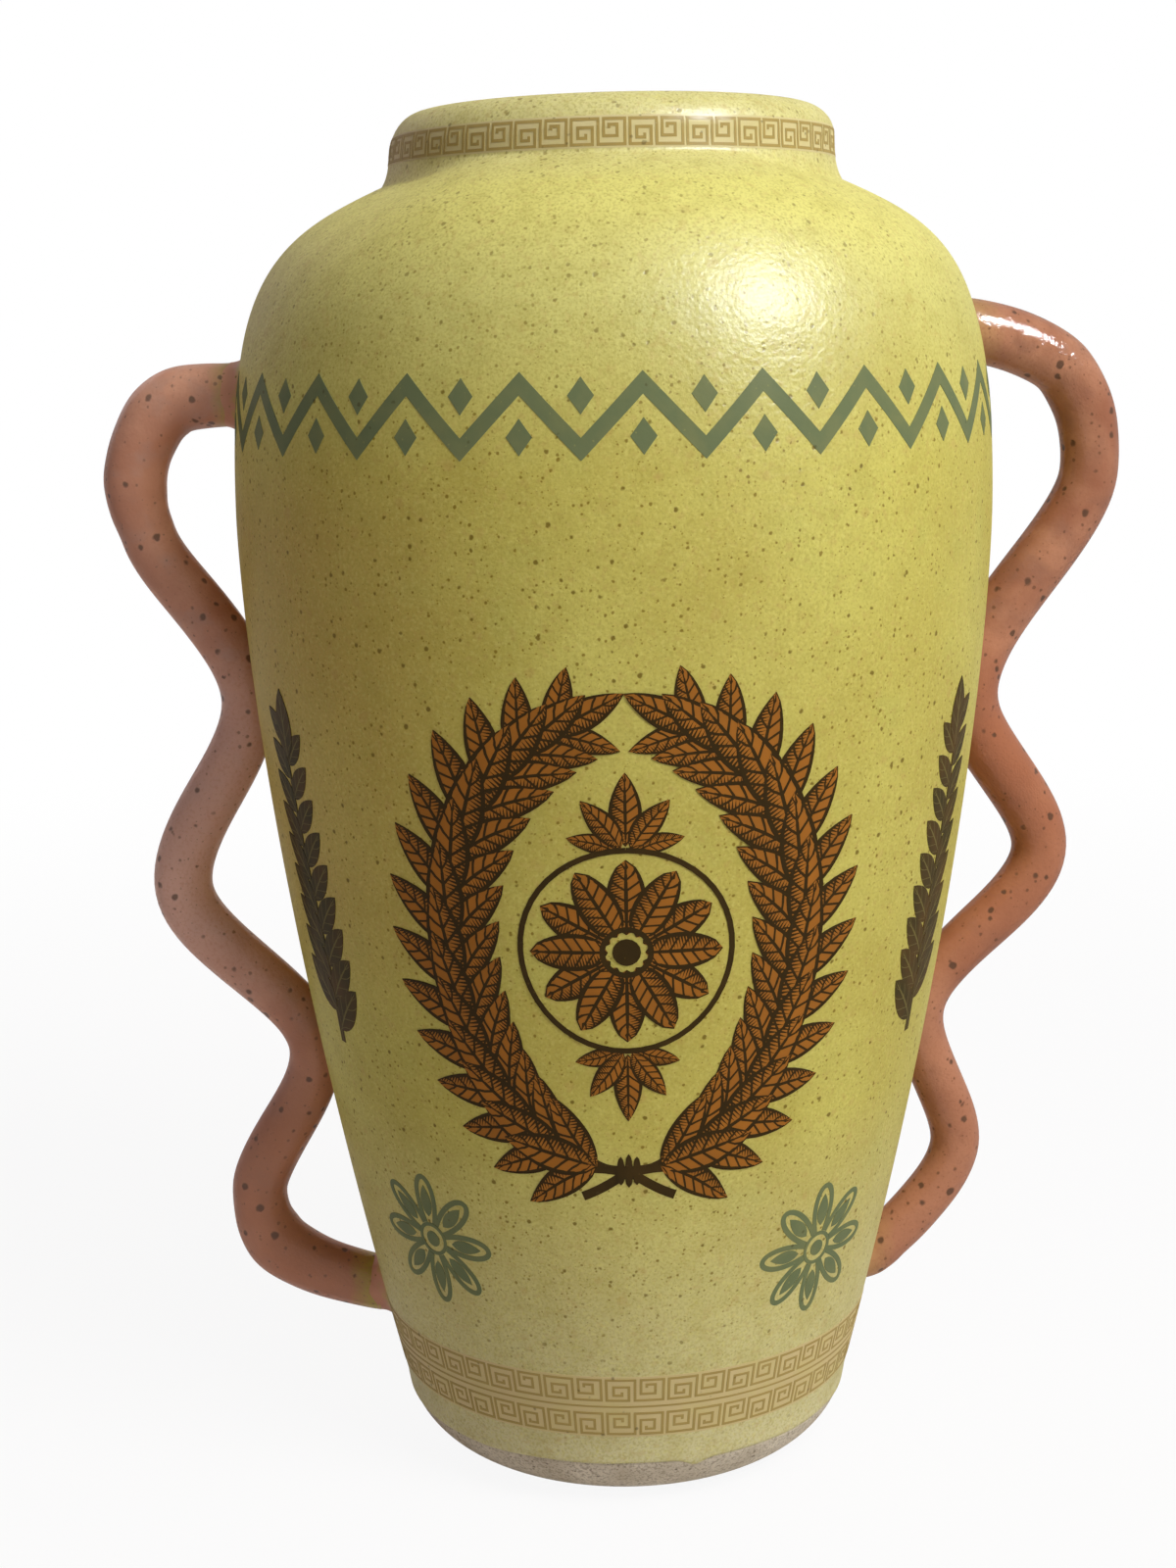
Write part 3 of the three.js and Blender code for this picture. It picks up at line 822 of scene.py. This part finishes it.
def makeRoot(side, which, h, r):
    # a ring round the coil, its hollow flank a quarter ellipse from the wall to the coil, closed in the clay
    handle = h[side]
    start, way = rootLine(handle, which)
    radius = handle["stops"][-1 if which else 0][2]
    across = np.array([-sin(handle["turn"]), cos(handle["turn"]), 0])
    upright = np.cross(way, across)
    phase = evenTurns(r["sides"])[None, :, None]
    spin = np.cos(phase) * across + np.sin(phase) * upright
    uneven = 1 + 0.08 * np.sin(3 * phase + which) + 0.04 * np.sin(7 * phase + 2)
    t = np.linspace(0, pi / 2, r["rows"])[:, None, None]
    tall, wide = r["rise"][side] * uneven, r["spread"][side] * uneven
    outFrom = radius + r["clear"] + wide * (1 - np.sin(t))
    rise = tall * (1 - np.cos(t)) + 0.05
    flank = ontoJar(start + outFrom * spin, way, 0.0) + rise * way
    inner = ontoJar(start + (radius - r["inside"]) * spin, way, 0.0)
    under = ontoJar(start + (radius + wide) * spin, way, -r["sunk"])
    rings = [flank, inner + (tall - r["rim"]) * way, inner - r["sunk"] * way, under]
    parts = [shell(np.concatenate(rings), closeRows=True)]
    climb = np.concatenate([np.linspace(0, 1, r["rows"]), [1, 1, 0]])[:, None]
    uv = np.stack(np.broadcast_arrays(np.linspace(0, 1, r["sides"])[None], climb), -1).reshape(-1, 2)
    name = f"{side}_{'lower' if which else 'upper'}"
    putPiece(name + "_root", parts, limeIntoCoral[side], (name + "_luting",), [uv])


for side in ("left", "right"):
    makeHandle(side, handles)
    for which in (0, 1):
        makeRoot(side, which, handles, roots)
print("handles rolled and luted on")


# Printed ornament: flat patterns in millimetres, u to the right and v up, wrapped round the jar

prints = dict(lift=0.1, depth=0.15, step=2.5)


def wrapped(flat, lift, angle, height):
    # u becomes an angle by dividing by the jar's radius at the pattern's middle; v is added to the height
    z = height + flat[..., 1]
    a = angle + flat[..., 0] / jarRadius(height)
    return handMade(roundJar(jarRadius(z, a) + lift, z, a))


def stroke(path, half):
    # both edges of a path: the path plus and minus its unit normal times half the width
    ahead = unit(np.gradient(path, axis=0))
    side = np.stack([-ahead[:, 1], ahead[:, 0]], 1) * np.broadcast_to(half, len(path))[:, None]
    return path + side, path - side


def mitred(corners, half, step):
    # edges of a line with sharp corners: a corner moves by (n1 + n2) / (1 + n1.n2) times half the width,
    # n1 and n2 being the unit normals of the sides that meet there; the sides are then cut into short steps
    ahead = np.diff(corners, axis=0)
    length = np.linalg.norm(ahead, axis=1)
    normal = np.stack([-ahead[:, 1], ahead[:, 0]], 1) / length[:, None]
    before, after = np.vstack([normal[:1], normal]), np.vstack([normal, normal[-1:]])
    move = (before + after) / (1 + (before * after).sum(1, keepdims=True)) * half
    pieces = np.ceil(length / step).astype(int)
    at = np.concatenate([k + np.arange(n) / n for k, n in enumerate(pieces)] + [[len(corners) - 1]])
    whole = np.arange(len(corners))
    edges = (corners + move, corners - move)
    return tuple(np.stack([np.interp(at, whole, edge[:, k]) for k in (0, 1)], 1) for edge in edges)


def moved(edges, du=0.0, dv=0.0, turn=0.0, flip=(1, 1)):
    # turns a shape anticlockwise, moves it, then mirrors it by the two signs in flip
    spin = np.array([[cos(turn), sin(turn)], [-sin(turn), cos(turn)]])
    return tuple((edge @ spin + [du, dv]) * flip for edge in edges)


def ribbon(edges, lift, across, angle, height):
    # a thin closed strip between two edges: its top stands off the jar, its underside lies within the glaze
    left, right = edges
    share = np.linspace(0, 1, across + 1)
    flat = left[:, None] * (1 - share[:, None]) + right[:, None] * share[:, None]
    raised = prints["lift"] + np.broadcast_to(lift, len(left))[:, None]
    top = wrapped(flat, raised, angle, height)
    under = wrapped(flat[:, ::-1], -prints["depth"], angle, height)
    rows, columns = len(left), 2 * (across + 1)
    points = np.concatenate([top, under], 1).reshape(-1, 3)
    cap = np.arange(across)
    start = np.stack([cap + 1, cap, columns - 1 - cap, columns - 2 - cap], 1)
    faces = np.concatenate([gridFaces(rows, columns), start, start[:, ::-1] + (rows - 1) * columns])
    along = np.linspace(0, 1, rows)[:, None]
    uv = np.stack(np.broadcast_arrays(np.concatenate([share, share[::-1]])[None], along), -1).reshape(-1, 2)
    return points, outwards(points, faces), uv


def putPrint(name, shapes, angle, height, ink):
    # shapes are (edges, lift, quads across), all wrapped round one place on the jar
    ribbons = [ribbon(*shape, angle, height) for shape in shapes]
    parts = [(points, faces) for points, faces, uv in ribbons]
    putPiece(name, parts, ink, uvs=[uv for points, faces, uv in ribbons])


# Key bands: one line per pair of spirals, 26 pairs round the jar

keyBands = dict(
    pairs=26,
    half=0.42,  # half the line's width
    neck=(406.8, 413.8),
    footUpper=(40.0, 47.3),
    footLower=(27.8, 35.2),
    rule=(37.38, 38.02),
    neckGround=(405.8, 414.8),
    footGround=(26.7, 48.5),
)
# corners of one pair as shares of its pitch and of the band's height
keyPath = np.array([
    (0.249, 0.42), (0.249, 0.25), (0.114, 0.25), (0.114, 0.66), (0.359, 0.66), (0.359, 0), (0, 0), (0, 1),
    (0.456, 1), (0.456, 0), (0.913, 0), (0.913, 1), (0.551, 1), (0.551, 0.325), (0.781, 0.325), (0.781, 0.77),
    (0.642, 0.77), (0.642, 0.62),
])


def makeKeyBand(name, heights, k, offset, flipped=False):
    # the corners stretched to a pitch, one pair's part of the way round, and repeated; offset is in pitches
    low, high = heights
    middle = (low + high) / 2
    pitch = 2 * pi / k["pairs"] * jarRadius(middle)
    path = (keyPath - 0.5) * [pitch, low - high if flipped else high - low]
    line = mitred(path, k["half"], prints["step"])
    shapes = [(moved(line, pitch * (pair + offset)), 0.04, 1) for pair in range(k["pairs"])]
    putPrint(name, shapes, 0.0, middle, sandInk)


def makeHoop(name, low, high, ink, lift, rows=2):
    # a strip all the way round between two heights
    height = np.linspace(low, high, rows)[:, None]
    top = roundJar(jarRadius(height, around) + lift, height, around)
    under = roundJar(jarRadius(height[::-1], around) - prints["depth"], height[::-1], around)
    putPiece(name, [shell(handMade(np.concatenate([top, under])), closeRows=True)], ink)


makeHoop("neck_band_ground", *keyBands["neckGround"], neckGroundInk, 0.05, 8)
makeHoop("foot_band_ground", *keyBands["footGround"], footGroundInk, 0.05, 12)
makeHoop("foot_band_rule", *keyBands["rule"], sandInk, 0.14)
makeKeyBand("neck_key_band", keyBands["neck"], keyBands, -0.18)
makeKeyBand("foot_key_band_upper", keyBands["footUpper"], keyBands, 0.18)
makeKeyBand("foot_key_band_lower", keyBands["footLower"], keyBands, 0.18, flipped=True)
print("key bands printed")


# Zigzag band with lozenges round the shoulder

zigzag = dict(
    height=334.5,
    tall=21.0,
    half=2.1,
    turns=22,
    step=2.0,
    lozenge=(3.6, 4.86),
    lozengeShift=0.62,
)


def lozenge(width, tall):
    # half the width grows and shrinks evenly along an upright path
    v = np.linspace(-1, 1, 9)
    return stroke(np.stack([0 * v, v * tall], 1), width * np.maximum(1 - np.abs(v), 0.02))


def makeZigzag(z):
    # a line that turns at even steps round the jar, with a lozenge in the mouth of each turn
    pitch = 2 * pi * jarRadius(z["height"]) / z["turns"]
    reach = z["tall"] / 2 - z["half"] * 0.9
    u = np.concatenate([[0.0], (np.arange(2 * z["turns"]) + 0.5) / 2, [z["turns"]]]) * pitch
    v = np.concatenate([[0.0], np.tile([reach, -reach], z["turns"]), [0.0]])
    shapes = [(mitred(np.stack([u, v], 1), z["half"], z["step"]), 0.02, 2)]
    for across, up in zip(u[1:-1], v[1:-1]):
        shapes.append((moved(lozenge(*z["lozenge"]), across, -up * z["lozengeShift"]), 0.02, 3))
    putPrint("shoulder_zigzag", shapes, pi, z["height"], tealInk)


makeZigzag(zigzag)
print("shoulder band printed")


# Wreath with a double palmette in it, front and back

wreath = dict(
    height=187.0,
    angle=radians(1),
    halfWidth=51.5,
    halfTall=68.0,
    stations=14,
    leaf=(31.0, 6.0),
    leafBend=0.16,
    splay=radians(34),
    rise=0.12,  # a leaf's tip stands higher than its foot
    stemHalf=1.5,
    shadeHalf=7.0,  # half the width of the dark shade under the leaves
    tip=pi - 0.36,
    crossing=38,
    tie=((-2.6, 4.6), (0, 5.4), (2.6, 4.6)),
)


def leaf(length, half, size=1.0, bend=0.0, rows=11, blunt=0.8):
    # width: half times sin(pi t) to a power, fullest a little before the middle; the midline is a shallow arc
    t = np.linspace(0.0, 1, rows)
    path = length * size * np.stack([bend * np.sin(pi * t / 2) ** 2 * t, t], 1)
    return stroke(path, np.maximum(half * size * np.sin(pi * t ** 0.85) ** blunt, 0.06))


def circle(radius, half, steps):
    # a closed line of one width, starting at the top
    turn = np.linspace(0, 2 * pi, steps)
    return stroke(radius * np.stack([np.sin(turn), np.cos(turn)], 1), half)


def disc(radius):
    # an upright path whose half width is the root of radius squared minus the distance squared
    v = np.sin(np.linspace(-pi / 2, pi / 2, 9))
    return stroke(np.stack([0 * v, v * radius], 1), radius * np.sqrt(np.maximum(1 - v * v, 0.002)))


def makeWreath(name, w, angle):
    # two branches that cross at the foot, their leaves in threes along a half ellipse, smaller at its end
    leaves, stems = [], []
    for flip in ((1, 1), (-1, 1)):
        for k, at in enumerate(np.linspace(0.2, pi - 0.4, w["stations"])):
            spot = (w["halfWidth"] * sin(at), -w["halfTall"] * cos(at))
            heading = np.arctan2(w["halfTall"] * sin(at), w["halfWidth"] * cos(at)) - pi / 2
            for way, lift in ((-1, 0.02), (1, 0.05), (0, 0.09)):
                size = (1 - 0.16 * abs(way)) * (1 - 0.3 * ease(0.7, 1.0, k / w["stations"]))
                shape = leaf(*w["leaf"], size, -w["leafBend"] * way)
                shape = moved(shape, *spot, heading + way * w["splay"], flip)
                leaves.append((shape, lift + w["rise"] * np.linspace(0, 1, 11), 2))
        at = np.linspace(-0.3, w["tip"], 70)
        v = -w["halfTall"] * np.cos(at) + w["crossing"] * np.minimum(at, 0)
        shade = ease(0.12, 0.5, at) * (1 - ease(2.2, w["tip"], at))
        half = w["stemHalf"] + (w["shadeHalf"] - w["stemHalf"]) * shade
        stems.append((stroke(np.stack([w["halfWidth"] * np.sin(at), v], 1) * flip, half), -0.04, 2))
    for u, tall in w["tie"]:
        stems.append((moved(leaf(2 * tall, 1.3, blunt=0.4), u, -w["halfTall"] - tall), 0.12, 2))
    putPrint(name + "_leaves", leaves, angle, w["height"], wreathInk)
    putPrint(name + "_stems", stems, angle, w["height"], umberInk)


medallion = dict(
    petals=12,
    petal=(22.0, 5.6),
    heart=5.2,
    disc=4.0,
    rings=(6.8, 29.9),
    ringHalf=0.8,
    fanPetals=5,
    fan=radians(62),
    fanPetal=(21.0, 4.4),
    fanFrom=29.5,
)


def makeMedallion(name, m, angle, height):
    # a round flower with a small palmette above and below it; every other petal lies a little higher
    petals = []
    petal = moved(leaf(*m["petal"], blunt=0.55), dv=m["heart"])
    for k in range(m["petals"]):
        petals.append((moved(petal, turn=2 * pi * k / m["petals"]), 0.02 + 0.04 * (k % 2), 2))
    for flip in (1, -1):
        for k in range(m["fanPetals"]):
            share = 2 * k / (m["fanPetals"] - 1) - 1
            size = 1 - 0.36 * abs(share)
            shape = leaf(*m["fanPetal"], size, 0.2 * share)
            foot = (share * 2.5, m["fanFrom"] + 1.5 * (1 - abs(share)))
            petals.append((moved(shape, *foot, -share * m["fan"], (1, flip)), 0.02 + 0.04 * (k % 2), 2))
    rings = [(circle(radius, m["ringHalf"], 49), 0.12, 1) for radius in m["rings"]]
    putPrint(name + "_petals", petals, angle, height, wreathInk)
    putPrint(name + "_rings", rings + [(disc(m["disc"]), 0.12, 4)], angle, height, umberInk)


for face, angle in (("front", wreath["angle"]), ("back", pi)):
    makeWreath(face + "_wreath", wreath, angle)
    makeMedallion(face + "_medallion", medallion, angle, wreath["height"])
print("wreaths printed")


# Leafy sprigs beside the handles

sprigs = dict(
    height=198.0,
    tall=52.0,
    angles=dict(left_front=-59, right_front=62, left_back=-121, right_back=119),
    pairs=9,
    leaf=(21.0, 5.0),
    splay=radians(38),
    sway=2.2,
    swayLength=24,
    stemHalf=(1.5, 0.6),
)


def makeSprig(name, s, angle, mirror):
    # a stem that sways as a sine wave, leaves in pairs that get smaller up it, and one leaf on its tip
    flip = (-1, 1) if mirror else (1, 1)
    v = np.linspace(-s["tall"], s["tall"] - 12, 40)
    stem = np.stack([s["sway"] * np.sin(v / s["swayLength"]), v], 1) * flip
    shapes = [(stroke(stem, np.linspace(*s["stemHalf"], 40)), 0.0, 1)]
    for k in range(s["pairs"]):
        v = -s["tall"] + 7 + k * (2 * s["tall"] - 22) / (s["pairs"] - 1)
        size = 1 - 0.35 * k / s["pairs"]
        for way in (-1, 1):
            shape = leaf(*s["leaf"], size, 0.1 * way)
            shape = moved(shape, s["sway"] * sin(v / s["swayLength"]), v + 3 * way, -way * s["splay"], flip)
            shapes.append((shape, 0.03 + 0.05 * (way > 0), 4))
    across = s["sway"] * sin((s["tall"] - 14) / s["swayLength"])
    tip = moved(leaf(*s["leaf"]), across, s["tall"] - 16, flip=flip)
    putPrint(name, shapes + [(tip, 0.1, 4)], angle, s["height"], oliveInk)


for place, degrees in sprigs["angles"].items():
    makeSprig(place + "_sprig", sprigs, radians(degrees), degrees < 0)
print("sprigs printed")


# Line rosettes low on the jar

rosettes = dict(
    radius=21.0,
    petalFrom=5.6,
    petals=8,
    half=0.85,
    rib=(10.5, 2.1),
    ribFrom=7.6,
    ring=(4.9, 0.6),
    disc=2.6,
    places=dict(
        left_front=(-41, 88), right_front=(42, 83), left_back=(-139, 86), right_back=(139, 86),
    ),
)


def makeRosette(name, r, angle, height):
    # a petal's outline swings evenly across while its distance from the middle follows sin(pi t) to a power
    t = np.linspace(0, 1, 33)
    reach = r["petalFrom"] + (r["radius"] - r["petalFrom"]) * np.sin(pi * t) ** 0.75
    swing = (2 * t - 1) * pi / r["petals"] * 0.84
    outline = stroke(np.stack([reach * np.sin(swing), reach * np.cos(swing)], 1), r["half"])
    rib = moved(leaf(*r["rib"], rows=9), dv=r["ribFrom"])
    shapes = []
    for k in range(r["petals"]):
        turn = 2 * pi * k / r["petals"]
        shapes += [(moved(outline, turn=turn), 0.02, 1), (moved(rib, turn=turn), 0.02, 2)]
    shapes += [(circle(*r["ring"], 33), 0.04, 1), (disc(r["disc"]), 0.04, 3)]
    putPrint(name, shapes, angle, height, tealInk)


for place, (degrees, height) in rosettes["places"].items():
    makeRosette(place + "_rosette", rosettes, radians(degrees), height)
print("rosettes printed")


# Floor, lights and room

studio = dict(
    floorHalf=6.0,
    floorTint=(0.65, 0.61, 0.6, 1),
    floorWhite=(0.92, 1.0),  # share of plain white seen by the camera: near the jar and far off
    floorFade=(0.35, 1.3),  # metres from the jar
    room=0.08,
    roomTint=(1.0, 0.72, 0.76, 1),
    aim=(0, 0, 0.25),
)
# way it comes from, metres away, metres wide, watts and tint
lamps = dict(
    key=((0.535, -0.517, 0.669), 2.0, 0.85, 28.5, (1.0, 1.0, 1.0)),
    glint=((0.63, -0.49, 0.6), 2.0, 0.55, 212, (0.87, 0.94, 1.0)),  # shows only in the gloss
    over=((0.42, -0.45, 1.0), 2.0, 1.4, 14.5, (0.96, 1.0, 0.96)),
    front=((-0.25, -1.0, 0.3), 2.4, 1.4, 0.3, (1.0, 0.78, 0.84)),
    back=((-0.8, 0.75, 0.5), 2.4, 1.4, 7.0, (1.0, 0.78, 0.84)),
    rear=((0.15, 1.0, 0.16), 2.4, 1.4, 20.0, (1.0, 1.0, 1.0)),  # leaves no gloss on the edges
)


def raysThatSeeWhite(n):
    # 1 for rays from the camera, from gloss and through glass, which see the plain white
    rays = n.add("LightPath").outputs
    total = rays["Is Camera Ray"]
    for ray in ("Is Glossy Ray", "Is Transmission Ray"):
        total = n.maths("MAXIMUM", total, rays[ray])
    return total


def makeFloor(s):
    # matt to the light, but to the eye a share of it glows white, and the share grows with the distance
    corners = [(x * s["floorHalf"], y * s["floorHalf"], 0) for x, y in ((-1, -1), (1, -1), (1, 1), (-1, 1))]
    mesh = bpy.data.meshes.new("floor")
    mesh.from_pydata(corners, [], [(0, 1, 2, 3)])
    n = newMaterial("white studio floor", roughness=0.9, specular=0.5)
    n.feed(n.main, {"Base Color": s["floorTint"]})
    away = n.add("VectorMath", {0: n.place}, operation="LENGTH").outputs["Value"]
    fade = n.spread(away, *s["floorFade"], *s["floorWhite"], interpolation_type="SMOOTHSTEP")
    share = n.maths("MULTIPLY", raysThatSeeWhite(n), fade)
    blend = n.add("MixShader", {0: share, 1: n.main.outputs[0], 2: n.add("Emission").outputs[0]})
    n.feed(n.tree.nodes["Material Output"], {"Surface": blend.outputs[0]})
    mesh.materials.append(n.owner)
    floor = newObject("floor", mesh)


def softLight(name, way, distance, size, power, tint):
    # a square lamp that looks back along its way at the middle of the jar
    data = bpy.data.lights.new(name + " light", "AREA")
    data.shape = "SQUARE"
    data.size = size
    data.energy = power
    data.color = tint
    obj = newObject(name + " light", data)
    obj.location = Vector(studio["aim"]) + Vector(way).normalized() * distance
    obj.rotation_euler = Vector(way).to_track_quat("Z", "Y").to_euler()
    obj.visible_diffuse = name != "glint"
    obj.visible_glossy = name != "rear"


def makeRoom(s):
    # white to the eye and in reflections, softer where it lights the jar
    n = Nodes(bpy.data.worlds.new("white room"), "Background")
    white = raysThatSeeWhite(n)
    strength = n.spread(white, 0.0, 1.0, s["room"], 1.0)
    n.feed(n.main, {"Color": n.mix(white, s["roomTint"], (1, 1, 1, 1)), "Strength": strength})
    bpy.context.scene.world = n.owner


makeFloor(studio)
for name, lamp in lamps.items():
    softLight(name, *lamp)
makeRoom(studio)
bpy.context.scene.view_settings.view_transform = "Standard"
print("floor and lights set")
